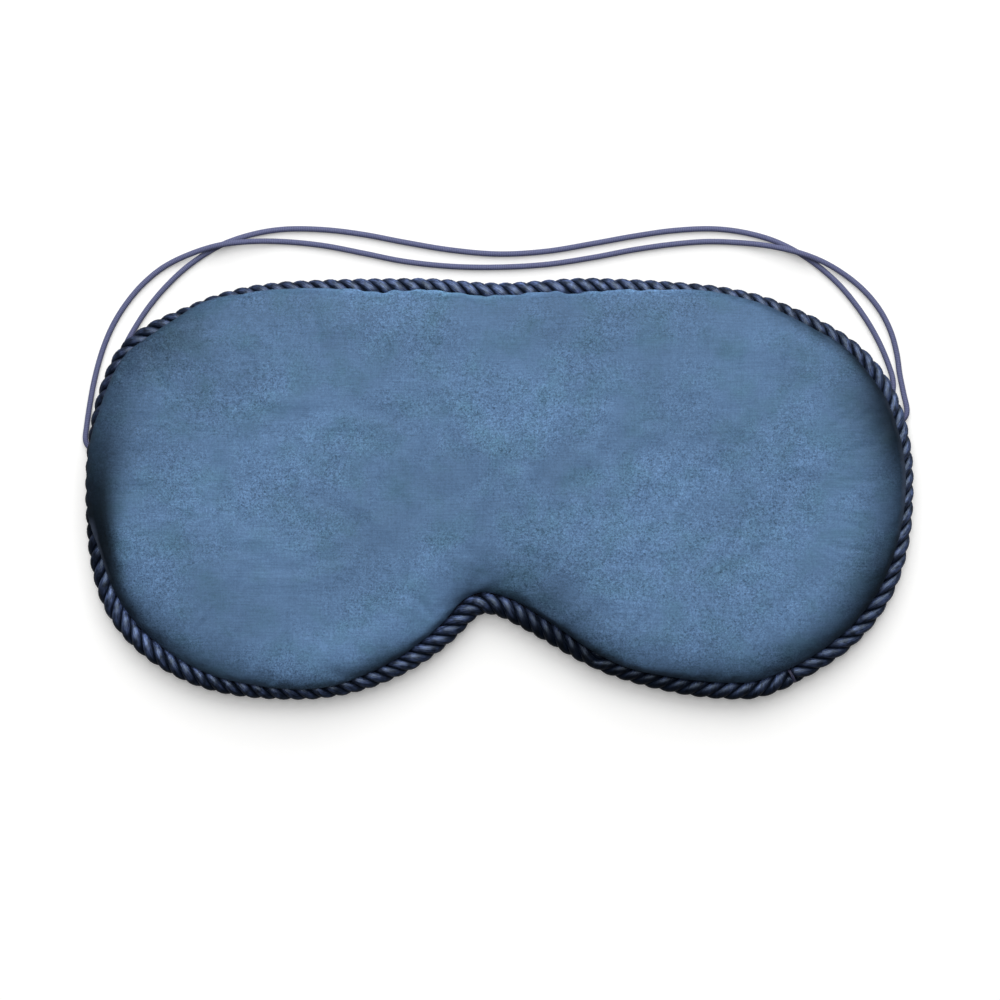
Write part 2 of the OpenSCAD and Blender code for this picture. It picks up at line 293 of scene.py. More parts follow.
def noise(tree, kind, scale, detail=2.0, rough=0.5, distortion=0.0):
    """Cloudy noise over coordinates of this kind times a scale."""
    n = add_node(tree, "TexNoise", {"Scale": 1.0, "Detail": detail, "Roughness": rough,
                                    "Distortion": distortion})
    tree.links.new(coordinates(tree, kind, scale), n.inputs["Vector"])
    return n.outputs["Fac"]


def wave(tree, vector, scale, direction, distortion, detail=0.0):
    n = add_node(tree, "TexWave", {"Scale": scale, "Distortion": distortion, "Detail": detail})
    n.bands_direction = direction
    tree.links.new(vector, n.inputs["Vector"])
    return n.outputs["Fac"]


def math_node(tree, operation, a, b=0.0):
    """The result of an operation on two values, each a number or a socket."""
    n = tree.nodes.new("ShaderNodeMath")
    n.operation = operation
    for socket, value in zip(n.inputs, (a, b)):
        if isinstance(value, (int, float)):
            socket.default_value = value
        else:
            tree.links.new(value, socket)
    return n.outputs[0]


def times(tree, a, b):
    return math_node(tree, "MULTIPLY", a, b)


def plus(tree, a, b):
    return math_node(tree, "ADD", a, b)


def remap(tree, value, low, high, to_low, to_high):
    """A value's range from low to high, stretched to another and cut off at its ends."""
    n = add_node(tree, "MapRange", {"From Min": low, "From Max": high, "To Min": to_low,
                                    "To Max": to_high})
    tree.links.new(value, n.inputs["Value"])
    return n.outputs[0]


def mix_colour(tree, factor, a, b):
    """A mix of colours a and b, each one value or a socket: all a at factor 0, all b at 1."""
    n = tree.nodes.new("ShaderNodeMix")
    n.data_type = "RGBA"
    for socket, value in ((n.inputs[0], factor), (n.inputs[6], a), (n.inputs[7], b)):
        if isinstance(value, (int, float, tuple)):
            socket.default_value = value
        else:
            tree.links.new(value, socket)
    return n.outputs[2]


def scaled_colour(tree, colour, gain):
    """A colour, one value or a socket, times a factor socket."""
    n = tree.nodes.new("ShaderNodeVectorMath")
    n.operation = "SCALE"
    if isinstance(colour, tuple):
        n.inputs[0].default_value = colour[:3]
    else:
        tree.links.new(colour, n.inputs[0])
    tree.links.new(gain, n.inputs["Scale"])
    return n.outputs[0]


def attribute(tree, name):
    n = tree.nodes.new("ShaderNodeAttribute")
    n.attribute_name = name
    return n.outputs["Fac"]


def bump(tree, bsdf, height, strength, distance_mm):
    n = add_node(tree, "Bump", {"Strength": strength, "Distance": distance_mm * MM})
    tree.links.new(height, n.inputs["Height"])
    tree.links.new(n.outputs[0], bsdf.inputs["Normal"])


def linear(r, g, b):
    """A colour given as 0 to 255 values of a screen, as linear light."""
    def one(v):
        v = v / 255
        return v / 12.92 if v <= 0.04045 else ((v + 0.055) / 1.055) ** 2.4
    return (one(r), one(g), one(b), 1)


# ---- materials

def satin_material(name, colour, shade_colour, grain=1.0):
    """Brushed satin: fine grain, thread streaks along the width, clouds, painted shade at the seam,
    painted shade and light along the rim, and a painted highlight line on the fold.
    """
    mat, tree, bsdf = new_material(name, roughness=0.55, specular=0.22, sheen=0.06,
                                   sheen_roughness=0.35, sheen_tint=(0.4, 0.65, 1, 1),
                                   specular_tint=(0.6, 0.8, 1, 1))
    fine = noise(tree, "Object", 2000, detail=3, rough=0.62, distortion=0.6)
    worm = noise(tree, "Object", 1250, detail=2, rough=0.55, distortion=1.8)
    thread = noise(tree, "Object", (160, 2600, 900), detail=3, rough=0.6)
    warp = noise(tree, "Object", (2600, 120, 900))
    blotch = noise(tree, "Object", (38, 46, 30), detail=2.5)
    patch = noise(tree, "Object", (95, 120, 60), detail=3, rough=0.55)
    drift = noise(tree, "Object", (46, 62, 40))
    cloud = noise(tree, "Object", (105, 130, 60), detail=3, rough=0.6)
    swing = remap(tree, drift, 0.4, 0.6, 0.4 * grain, 1.4 * grain)
    crinkle = plus(tree, remap(tree, fine, 0.3, 0.7, -0.25, 0.25),
                   remap(tree, worm, 0.3, 0.7, -0.27, 0.27))
    gain = plus(tree, 1.0, times(tree, crinkle, swing))
    parts = ((thread, 0.11 * grain), (warp, 0.04 * grain), (blotch, 0.13), (patch, 0.06))
    for value, part in parts:
        gain = times(tree, gain, remap(tree, value, 0.3, 0.7, 1 - part, 1 + part))
    teal = (colour[0] * 0.84, colour[1] * 0.93, colour[2] * 0.84, 1)
    base = mix_colour(tree, remap(tree, cloud, 0.45, 0.72, 0, 1), colour, teal)
    base = scaled_colour(tree, base, gain)
    # Painted shade along the rim, and painted light where the attribute is below zero
    base = scaled_colour(tree, base, math_node(tree, "SUBTRACT", 1.0, attribute(tree, "painted_shade_light")))
    # Painted shade at the seam, under the rolled edge and on the lining
    base = mix_colour(tree, attribute(tree, "painted_seam_shade"), base, shade_colour)
    # A painted highlight line where the rolled edge catches the lamp
    base = mix_colour(tree, attribute(tree, "painted_fold_highlight"), base, linear(84, 94, 116))
    tree.links.new(base, bsdf.inputs["Base Color"])
    height = plus(tree, times(tree, fine, 0.5), times(tree, thread, 0.5))
    bump(tree, bsdf, height, 0.35 * grain, 0.12)
    return mat


def yarn_material(name, colour, light):
    """Twisted shiny yarn: fine filaments along the ply, painted shade, darker and duller, where the
    plies meet, and painted light with painted highlights from the ply's attribute.
    """
    mat, tree, bsdf = new_material(name, roughness=0.38, sheen=0.05, sheen_roughness=0.35,
                                   sheen_tint=(0.5, 0.7, 1, 1), specular_tint=(0.6, 0.76, 1, 1))
    filament = noise(tree, "UV", (26, 0.5, 1), detail=3, rough=0.65)
    soft = noise(tree, "UV", (3, 0.6, 1))
    tone = remap(tree, filament, 0.35, 0.65, 0.0, 1.0)
    tone = times(tree, tone, remap(tree, soft, 0.35, 0.65, 0.1, 1.15))
    base = mix_colour(tree, tone, colour, light)
    base = scaled_colour(tree, base, attribute(tree, "painted_yarn_light"))
    # Painted shade, near black, between the plies
    base = mix_colour(tree, attribute(tree, "painted_valley_shade"), base, (0.002, 0.004, 0.011, 1))
    tree.links.new(base, bsdf.inputs["Base Color"])
    # The specular level rises with the painted light
    gloss = remap(tree, attribute(tree, "painted_yarn_light"), 0.0, 1.8, 0.25, 1.0)
    tree.links.new(gloss, bsdf.inputs["Specular IOR Level"])
    bump(tree, bsdf, filament, 0.8, 0.14)
    return mat


def braid_material(name, colour, light):
    """Fine round braid: two crossing sets of slanting threads."""
    threads, turn_mm = 8, 0.9
    mat, tree, bsdf = new_material(name, roughness=0.55, specular=0.4, sheen=0.25,
                                   sheen_roughness=0.4, sheen_tint=(0.8, 0.8, 1, 1))
    split = tree.nodes.new("ShaderNodeSeparateXYZ")
    tree.links.new(coordinates(tree, "UV", 1), split.inputs[0])
    turns = times(tree, split.outputs[0], threads * 2 * math.pi)
    along = times(tree, split.outputs[1], 2 * math.pi / turn_mm)
    left = math_node(tree, "SINE", plus(tree, turns, along))
    right = math_node(tree, "SINE", math_node(tree, "SUBTRACT", turns, along))
    weave = times(tree, left, right)
    grain = noise(tree, "UV", (20, 4, 1))
    tone = plus(tree, remap(tree, weave, -1, 1, 0, 0.75), remap(tree, grain, 0.3, 0.7, 0, 0.25))
    tree.links.new(mix_colour(tree, tone, colour, light), bsdf.inputs["Base Color"])
    bump(tree, bsdf, weave, 0.5, 0.08)
    return mat


def cloth_material(name, colour, light, scale=1.0):
    """Plain woven cloth seen close, from two crossing thread waves and noise."""
    mat, tree, bsdf = new_material(name, roughness=0.85, specular=0.25, sheen=0.15)
    place = coordinates(tree, "Object", 1)
    across = wave(tree, place, 700 * scale, "X", distortion=0.6, detail=1)
    along = wave(tree, place, 700 * scale, "Y", distortion=0.6, detail=1)
    weave = times(tree, across, along)
    fuzz = noise(tree, "Object", 1500 * scale, detail=3, rough=0.6)
    tone = plus(tree, remap(tree, weave, 0, 1, 0, 0.6), remap(tree, fuzz, 0.3, 0.7, 0, 0.4))
    tree.links.new(mix_colour(tree, tone, colour, light), bsdf.inputs["Base Color"])
    bump(tree, bsdf, tone, 0.5, 0.15)
    return mat


def fibre_material(name, colour, light):
    """Loose white wadding fibres."""
    mat, tree, bsdf = new_material(name, roughness=0.95, specular=0.15, sheen=0.4)
    strand = noise(tree, "Object", (500, 500, 900), detail=6, rough=0.7, distortion=2.5)
    cloud = noise(tree, "Object", 60, detail=3)
    tone = times(tree, remap(tree, strand, 0.3, 0.7, 0, 1), remap(tree, cloud, 0.3, 0.7, 0.6, 1))
    tree.links.new(mix_colour(tree, tone, colour, light), bsdf.inputs["Base Color"])
    bump(tree, bsdf, strand, 0.7, 0.4)
    return mat


def thread_material(name, colour, light):
    """Sewing thread: a tight slanting twist."""
    mat, tree, bsdf = new_material(name, roughness=0.5, specular=0.45, sheen=0.2)
    twist = wave(tree, coordinates(tree, "UV", (1, 1.2, 1)), 0.32, "DIAGONAL", distortion=0.4)
    fuzz = noise(tree, "UV", (9, 4, 1))
    tone = times(tree, twist, remap(tree, fuzz, 0.3, 0.7, 0.5, 1))
    tree.links.new(mix_colour(tree, tone, colour, light), bsdf.inputs["Base Color"])
    bump(tree, bsdf, twist, 0.6, 0.08)
    return mat


# ---- mesh helpers

def add_mesh(name, points_mm, faces, material, uv=None, values=None):
    """A smooth-shaded mesh object. uv holds one pair per vertex, values named vertex numbers."""
    mesh = bpy.data.meshes.new(name)
    mesh.from_pydata((np.asarray(points_mm) * MM).tolist(), [], faces)
    mesh.polygons.foreach_set("use_smooth", [True] * len(mesh.polygons))
    corners = np.zeros(len(mesh.loops), int)
    mesh.loops.foreach_get("vertex_index", corners)
    if uv is not None:
        layer = mesh.uv_layers.new(name="UVMap")
        layer.data.foreach_set("uv", np.asarray(uv, float)[corners].ravel())
    for key, numbers in (values or {}).items():
        field = mesh.attributes.new(key, "FLOAT", "POINT")
        field.data.foreach_set("value", np.asarray(numbers, float))
    mesh.materials.append(material)
    return add_object(name, mesh)


def strip_faces(rows, columns, closed):
    """Quads between rows of points, closed round each row or not."""
    wrap = columns if closed else columns - 1
    return [(k * columns + i, k * columns + (i + 1) % columns,
             (k + 1) * columns + (i + 1) % columns, (k + 1) * columns + i)
            for k in range(rows - 1) for i in range(wrap)]


def tangents(path):
    return unit(np.gradient(path, axis=0))


def square_to(pole, way):
    """Two directions square to the way and to each other, the first square to the pole too."""
    side = unit(np.cross(way, pole))
    return side, np.cross(side, way)


def tube_grid(path, side, up, radius_side, radius_up, sides):
    """Rings of an elliptical tube, with one more column than sides so that UVs can close."""
    a = 2 * math.pi * np.arange(sides + 1) / sides
    rs = np.broadcast_to(radius_side, (len(path),))[:, None, None]
    ru = np.broadcast_to(radius_up, (len(path),))[:, None, None]
    return (path[:, None, :] + rs * np.cos(a)[None, :, None] * side[:, None, :]
            + ru * np.sin(a)[None, :, None] * up[:, None, :])


def tube_faces(rings, columns):
    """Quads of a tube whose last column repeats the first, and its two end caps."""
    faces = strip_faces(rings, columns, False)
    last = (rings - 1) * columns
    faces.append(tuple(range(columns - 1))[::-1])
    faces.append(tuple(last + i for i in range(columns - 1)))
    return faces


def tube_uv(sides, along):
    """UVs of a tube's rings: the share of the way round, and how far along."""
    return np.stack(np.meshgrid(np.arange(sides + 1) / sides, along), axis=-1).reshape(-1, 2)


def weld(obj):
    """Joins the doubled column of a tube. The UVs stay, because they belong to the corners."""
    bm = bmesh.new()
    bm.from_mesh(obj.data)
    bmesh.ops.remove_doubles(bm, verts=bm.verts, dist=1e-7)
    bmesh.ops.recalc_face_normals(bm, faces=bm.faces)
    bm.to_mesh(obj.data)
    bm.free()


def smooth_path(points, spacing):
    """Centripetal Catmull-Rom curve through the points, resampled at an even spacing."""
    p = np.asarray(points, float)
    p = np.vstack([2 * p[0] - p[1], p, 2 * p[-1] - p[-2]])
    steps = 24
    out = []
    for i in range(1, len(p) - 2):
        k = p[i - 1:i + 3]
        t = np.concatenate([[0], np.cumsum(np.sqrt(np.linalg.norm(np.diff(k, axis=0), axis=1)))])
        u = np.linspace(t[1], t[2], steps, endpoint=False)[:, None]

        def mixed(a, b, ta, tb):
            return (tb - u) / (tb - ta) * a + (u - ta) / (tb - ta) * b

        a1, a2, a3 = (mixed(k[j], k[j + 1], t[j], t[j + 1]) for j in range(3))
        b1, b2 = mixed(a1, a2, t[0], t[2]), mixed(a2, a3, t[1], t[3])
        out.append(mixed(b1, b2, t[1], t[2]))
    out.append(p[-2][None, :])
    fine = np.vstack(out)
    run = run_along(fine)
    n = max(2, round(run[-1] / spacing))
    at = np.linspace(0, run[-1], n + 1)
    return np.stack([np.interp(at, run, fine[:, j]) for j in range(3)], axis=1), run[-1]


# ---- the elastics

ELASTIC_D = 1.4
BEND_R = 2.8
ANCHOR_Z = 1.15

# The line through all four anchors: its y at the rim's left side, and its rise to the right side
ANCHOR_Y = 10
ANCHOR_RISE = 7
ANCHOR_TILT = math.atan2(ANCHOR_RISE, 2 * HALF_W)

# The x of each elastic's cut end and of the start of its bend, at the left and at the right
OUTER_ENDS = ((-98.8, -100.8), (97.6, 99.6))
INNER_ENDS = ((-93.3, -95.3), (92.1, 94.1))

# The elastics' routes between their bends
OUTER_ROUTE = [
    (-103.4, 16, 0.8), (-102.6, 21.5, 0.7), (-101.7, 26.5, 0.7), (-100.5, 31.5, 0.7),
    (-98.9, 36.5, 0.7), (-96.7, 41.5, 0.7), (-93.6, 46.5, 0.7), (-89.4, 51.5, 0.7),
    (-84, 55.9, 0.7), (-77, 59.2, 1.6), (-69.8, 61.3, 2.5), (-62, 62.2, 1.6),
    (-54, 62.2, 0.7), (-44, 61.2, 0.7), (-34, 59.3, 0.7), (-24, 57.3, 0.7),
    (-12, 56, 0.7), (0, 55.8, 0.7), (12, 56.5, 0.7), (24, 58.3, 0.7),
    (34, 60.2, 0.7), (44, 61.6, 0.7), (52, 62.2, 0.7), (59.5, 62, 0.7),
    (67.5, 61.1, 1.6), (75.3, 59.3, 2.5), (82, 56.7, 1.6), (88.5, 52.6, 0.7),
    (92.8, 48.6, 0.7), (96, 44.3, 0.7), (98.4, 39.3, 0.7), (99.8, 34, 0.7),
    (100.5, 29, 0.7), (101.4, 24.5, 0.8),
]
INNER_ROUTE = [
    (-98.3, 16, 0.9), (-97.6, 22, 0.7), (-96.2, 28.5, 0.7), (-94, 35.5, 0.7),
    (-90.8, 41.4, 0.7), (-87.4, 46.4, 0.7), (-83.1, 51.4, 0.7), (-77.6, 56.4, 0.7),
    (-70, 61.2, 0.7), (-62, 64, 0.7), (-54, 65.3, 0.7), (-44, 65.2, 0.7),
    (-34, 64, 0.7), (-24, 62.1, 0.7), (-12, 60.1, 0.7), (0, 59.1, 0.7),
    (12, 59.8, 0.7), (24, 61.8, 0.7), (34, 63.6, 0.7), (44, 65, 0.7),
    (54, 65.4, 0.7), (62, 64.4, 0.7), (69, 62.4, 0.7), (75.3, 59.3, 0.7),
    (80.3, 55.9, 0.7), (85.4, 51.3, 0.7), (89.5, 46.4, 0.7), (92.9, 41.4, 0.7),
    (95.6, 36.4, 0.7), (97.6, 31.6, 0.7), (98.8, 27.5, 0.7), (98.7, 24.2, 0.8),
]


def anchor(x):
    """The point of the line of anchors at x."""
    return (x, ANCHOR_Y + ANCHOR_RISE * (x + HALF_W) / (2 * HALF_W), ANCHOR_Z)


def elastic_end(ends):
    """From the cut end in its bartack to the end of the bend that turns towards the brow."""
    side = 1 if ends[1] > 0 else -1
    px, py, pz = anchor(ends[1])
    before_bend = 0.15
    points = [anchor(ends[0]), anchor(ends[1] - side * before_bend)]
    for degrees in (0, 30, 60, 90):
        a = math.radians(degrees)
        along, across = side * BEND_R * math.sin(a), BEND_R * (1 - math.cos(a))
        points.append((px + along * math.cos(ANCHOR_TILT) - across * math.sin(ANCHOR_TILT),
                       py + along * math.sin(ANCHOR_TILT) + across * math.cos(ANCHOR_TILT), pz))
    return points


def add_elastic(name, ends, route, material):
    points = elastic_end(ends[0]) + list(route) + elastic_end(ends[1])[::-1]
    step, sides = 0.6, 14
    path, length = smooth_path(points, step)
    side, up = square_to([0, 0, 1.0], tangents(path))
    grid = tube_grid(path, side, up, ELASTIC_D / 2, ELASTIC_D / 2, sides)
    uv = tube_uv(sides, np.linspace(0, length, len(path)))
    obj = add_mesh(name + "_braid", grid.reshape(-1, 3), tube_faces(len(path), sides + 1),
                   material, uv=uv)
    weld(obj)
    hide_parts(name)
    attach(obj, name)


def add_elastics():
    braid = braid_material("elastic_braid", linear(58, 62, 98), linear(118, 124, 164))
    add_elastic("inner_elastic", INNER_ENDS, INNER_ROUTE, braid)
    add_elastic("outer_elastic", OUTER_ENDS, OUTER_ROUTE, braid)


# ---- the twisted edge cord

# How far a ply's middle lies from the cord's axis, its radius, and its mesh's sides and steps
PLY_TURN_R = 1.54
PLY_R = 0.98
PLY_SIDES = 18
PLY_STEP = 0.6

# Its section for that radius: its height, its breadth as measured round the cord, its greatest
# breadth, and how much further its inner side reaches in
PLY_HEIGHT = 1.02
PLY_BREADTH = 1.56
PLY_MAX_BREADTH = 1.36
PLY_REACH = 0.5

# Painted shade between two plies: how far from the axis it starts, and over what depth it deepens
VALLEY_R = 2.46
VALLEY_DEPTH = 0.5

# The side of a ply on which its painted highlight, a light crest, lies
LIT_SIDE = (-0.35, 0.94, 0)

# Length in mm in which a ply makes a full turn, against the share of the rim
LAY = [
    (0.0, 10.9), (0.12, 11.1), (0.2, 12), (0.3, 12), (0.36, 11), (0.58, 11), (0.61, 12),
    (0.65, 13.6), (0.7, 13.6), (0.75, 12), (0.84, 11.7), (0.92, 10.9),
]

# Painted light and shade on the yarn against the share of the rim: how light the yarn is painted,
# and how much lighter it is painted on its inner side and on its crests, as painted highlights
YARN_PAINTED_LIGHT = [
    (0.0, 1.8, -0.2), (0.06, 1.5, -0.2), (0.12, 1.1, 0.0), (0.2, 0.7, 0.0), (0.235, 0.38, 0.5),
    (0.27, 0.42, 0.5), (0.285, 1.0, 0.6), (0.295, 2.1, 0.7), (0.33, 2.1, 0.9), (0.36, 1.6, 0.9),
    (0.38, 1.3, 0.6), (0.43, 1.3, 0.6), (0.45, 1.3, 0.4), (0.485, 0.9, 0.4), (0.505, 1.0, 0.8),
    (0.525, 0.35, 0.9), (0.55, 0.2, 0.9), (0.6, 0.32, 0.9), (0.62, 0.8, 0.9), (0.65, 1.0, 0.8),
    (0.67, 0.9, 0.5), (0.71, 1.1, -0.2), (0.8, 1.3, -0.3), (0.83, 1.2, 0.0), (0.86, 1.05, 0.0),
    (0.89, 1.3, 0.0), (0.95, 1.6, -0.2),
]

# Share of the rim from which the lay runs the other way, as far as the join
LAY_BACK = 0.558

# How far the cord stands out from its mean line in mm, and how thick it is for its size,
# against the share of the rim
STANDING = [
    (0.0, 0.5, 1.06), (0.08, 0.15, 1.0), (0.11, 0.3, 1.02), (0.16, 0.3, 1.0), (0.18, 0.0, 1.0),
    (0.24, 0.0, 1.0), (0.27, -0.2, 1.0), (0.31, 0.0, 1.0), (0.37, 0.1, 1.0), (0.44, 0.0, 1.0),
    (0.48, 0.4, 1.07), (0.51, 0.4, 1.1), (0.54, 0.0, 1.0), (0.66, 0.0, 1.0), (0.7, 0.2, 1.0),
    (0.76, 0.2, 1.0), (0.8, 0.0, 1.0), (0.85, 0.1, 1.0), (0.88, 0.4, 1.03), (0.92, 0.15, 1.0),
    (0.98, 0.5, 1.06),
]


def rope_turn(s):
    """Angle in radians that a ply has turned through at the distances s, counted from the join."""
    fine = np.linspace(s[0], s[-1], 4001)
    back = np.tanh(((LAY_BACK + 1) * RIM_LEN - fine) / 2.0)
    rate = 2 * math.pi / round_rim(LAY, fine) * back
    angle = np.concatenate([[0], np.cumsum(0.5 * (rate[1:] + rate[:-1]) * np.diff(fine))])
    return np.interp(s, fine, angle)


def ply_grid(number, s, axis, out, thick):
    """Rings of a ply round the rim, and the middle of each."""
    turn = np.radians(120 * number) - rope_turn(s)
    spoke = np.cos(turn)[:, None] * out + np.sin(turn)[:, None] * np.array([0, 0, 1.0])
    centre = axis + PLY_TURN_R * thick[:, None] * spoke
    way = tangents(centre)
    up = unit(spoke - (spoke * way).sum(1)[:, None] * way)
    side = np.cross(way, up)
    swell = thick * (1 + 0.03 * value_noise(s / 5.0, 40 + number))
    cut = np.minimum(s - s[0], s[-1] - s)
    swell = swell * (0.8 + 0.2 * np.clip(cut / 1.5, 0, 1) ** 0.5)
    slope = PLY_TURN_R * np.gradient(turn, s)
    breadth = np.minimum(PLY_BREADTH / np.hypot(1, slope), PLY_MAX_BREADTH)
    grid = tube_grid(centre, up, side, PLY_HEIGHT * PLY_R * swell, breadth * PLY_R * swell,
                     PLY_SIDES)
    depth = np.minimum(((grid - centre[:, None, :]) * up[:, None, :]).sum(2), 0)
    return grid + PLY_REACH * depth[:, :, None] * up[:, None, :], centre


def paint_yarn_light(s, grid, centre, axis, out):
    """Painted light on the yarn at a ply's points: its tone there, more on its inner side, and a
    painted highlight on its crest.
    """
    tone, lean = (round_rim(YARN_PAINTED_LIGHT, s, 0.006, k)[:, None] for k in (1, 2))
    inner = -((grid - axis[:, None, :]) * out[:, None, :]).sum(2) / (CORD_D / 2)
    crest = (grid - centre[:, None, :]) @ np.array(LIT_SIDE) / PLY_R
    ridge = np.clip((crest - 0.1) / 0.7, 0, 1)
    return np.clip(tone * (1 + lean * inner) * (1 + np.abs(lean) * (1.7 * ridge - 0.55)), 0.1, 5)


def add_ply(number, material):
    start = JOIN_S + JOIN_GAP / 2
    run = RIM_LEN - JOIN_GAP
    rings = round(run / PLY_STEP) + 1
    s = start + np.linspace(0, run, rings)
    stand, thick = (round_rim(STANDING, s, 0.005, k) for k in (1, 2))
    out = np.column_stack([rim_out(s), np.zeros(rings)])
    axis = np.column_stack([rim_at(s), np.full(rings, SEAM_Z)]) + stand[:, None] * out
    grid, centre = ply_grid(number, s, axis, out, thick)
    reach = np.linalg.norm(grid - axis[:, None, :], axis=2)
    # Painted shade between the plies
    painted_valley_shade = np.clip((VALLEY_R * thick[:, None] - reach) / VALLEY_DEPTH, 0, 1)
    # Painted light on the yarn, with painted highlights on the crests
    painted_yarn_light = paint_yarn_light(s, grid, centre, axis, out)
    yarn_stretch, filament_turn = 1.2, 0.07
    uv = tube_uv(PLY_SIDES, np.linspace(0, run * yarn_stretch, rings))
    uv[:, 0] += filament_turn * uv[:, 1]
    name = "edge_cord_ply_%d" % (number + 1)
    obj = add_mesh(name + "_yarn", grid.reshape(-1, 3), tube_faces(rings, PLY_SIDES + 1), material,
                   uv=uv, values={"painted_valley_shade": painted_valley_shade.ravel(), "painted_yarn_light": painted_yarn_light.ravel()})
    weld(obj)
    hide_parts(name)
    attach(obj, "mask")


def add_edge_cord():
    yarn = yarn_material("cord_yarn_twist", linear(5, 9, 20), linear(76, 92, 132))
    for number in range(3):
        add_ply(number, yarn)


# ---- the panels

# Points in each row round a panel, and where they are along the rim
ROUND_N = 504
ROUND_S = np.arange(ROUND_N) * RIM_LEN / ROUND_N

# How far inside the pad's edge a panel's last row lies, and how far it is tucked in under itself
PANEL_RUN = 22
TUCK = 0.25

# The front panel's rolled edge: rows under it, its least overhang and height, and how far it
# keeps off the cord below it and under it
UNDER_ROWS = 4
MIN_OVERHANG = 0.3
EDGE_Z = 5.95
EDGE_LIFT = 0.45
CORD_CLEAR = 0.15

# Painted shade on the satin towards the seam, and painted light where below zero, against the share
# of the rim: how dark it turns, over what width in mm, and how sharp its inner border is
PAINTED_RIM_SHADE_LIGHT = [
    (0.0, 0.1, 14, 1.7), (0.04, 0.1, 14, 1.7), (0.08, 0.16, 14, 1.7), (0.12, 0.22, 14, 1.7),
    (0.16, 0.62, 14, 1.7), (0.18, 0.6, 11, 1.7), (0.2, 0.5, 9, 1.7), (0.22, 0.66, 8, 1.7),
    (0.235, 0.85, 6, 1.7), (0.25, 0.97, 5.2, 1.9), (0.262, 0.95, 3.7, 2.2), (0.276, 1.0, 4.0, 4.5),
    (0.285, 0.93, 3.7, 3.5), (0.305, 0.88, 4.1, 2.5), (0.32, 0.84, 4.2, 1.7),
    (0.34, 0.62, 3.8, 1.7), (0.36, 0.42, 3.6, 1.7), (0.375, -0.05, 15, 1.7), (0.4, -0.2, 20, 1.7),
    (0.44, -0.2, 20, 1.7), (0.46, -0.25, 14, 1.7), (0.48, -0.4, 12, 1.7), (0.5, 0.12, 9, 1.7),
    (0.52, 0.68, 12, 1.7), (0.54, 0.45, 9, 1.7), (0.56, 0.3, 6, 1.7), (0.6, 0.2, 5, 1.7),
    (0.64, 0.72, 6.2, 1.7), (0.68, 0.83, 5.3, 1.7), (0.72, 0.85, 7.5, 1.7), (0.74, 0.6, 6.5, 1.7),
    (0.76, 0.5, 8, 1.7), (0.78, 0.8, 8, 1.7), (0.8, 0.88, 10.5, 1.7), (0.82, 0.5, 10, 1.7),
    (0.84, 0.1, 9, 1.7), (0.86, -0.1, 10, 1.7), (0.88, 0.1, 12, 1.7), (0.92, 0.12, 14, 1.7),
    (0.96, 0.25, 16, 1.7),
]

# A narrow band of painted shade along the panel's rolled edge, against the share of the rim: how
# dark it is, or how light as a painted highlight where below zero, and its width in mm
EDGE = [
    (0.0, -0.6, 0.8), (0.012, -0.6, 0.8), (0.02, -1.3, 0.8), (0.03, -1.2, 0.8), (0.042, -0.5, 0.8),
    (0.06, -0.7, 0.8), (0.09, -0.3, 0.9), (0.13, 0.0, 1.2), (0.17, 0.2, 1.2), (0.21, 0.1, 1.0),
    (0.34, 0.0, 1.5), (0.36, 0.35, 2.4), (0.38, 0.68, 4.6), (0.4, 0.68, 3.0), (0.42, 0.62, 3.0),
    (0.435, 0.8, 4.0), (0.445, 0.88, 4.2), (0.46, 0.75, 2.0), (0.48, 0.5, 1.3), (0.5, 0.5, 1.6),
    (0.52, 0.65, 1.9), (0.54, 0.65, 1.4), (0.56, 0.75, 2.2), (0.58, 0.7, 1.8), (0.6, 0.7, 2.2),
    (0.62, 0.65, 2.4), (0.64, 0.2, 1.5), (0.66, 0.0, 1.5), (0.68, 0.15, 1.4), (0.7, 0.5, 1.6),
    (0.72, 0.65, 2.0), (0.74, 0.65, 2.2), (0.76, 0.55, 2.6), (0.78, 0.7, 4.6), (0.8, 0.65, 2.8),
    (0.82, 0.9, 2.6), (0.84, 0.75, 2.4), (0.86, 0.6, 3.0), (0.88, 0.35, 1.6), (0.905, -0.1, 0.9),
    (0.925, -0.9, 0.8), (0.94, -0.8, 0.8), (0.952, -1.3, 0.8), (0.96, -0.2, 0.8),
    (0.968, -0.4, 0.8), (0.975, -1.1, 0.8), (0.985, -0.9, 0.8),
]

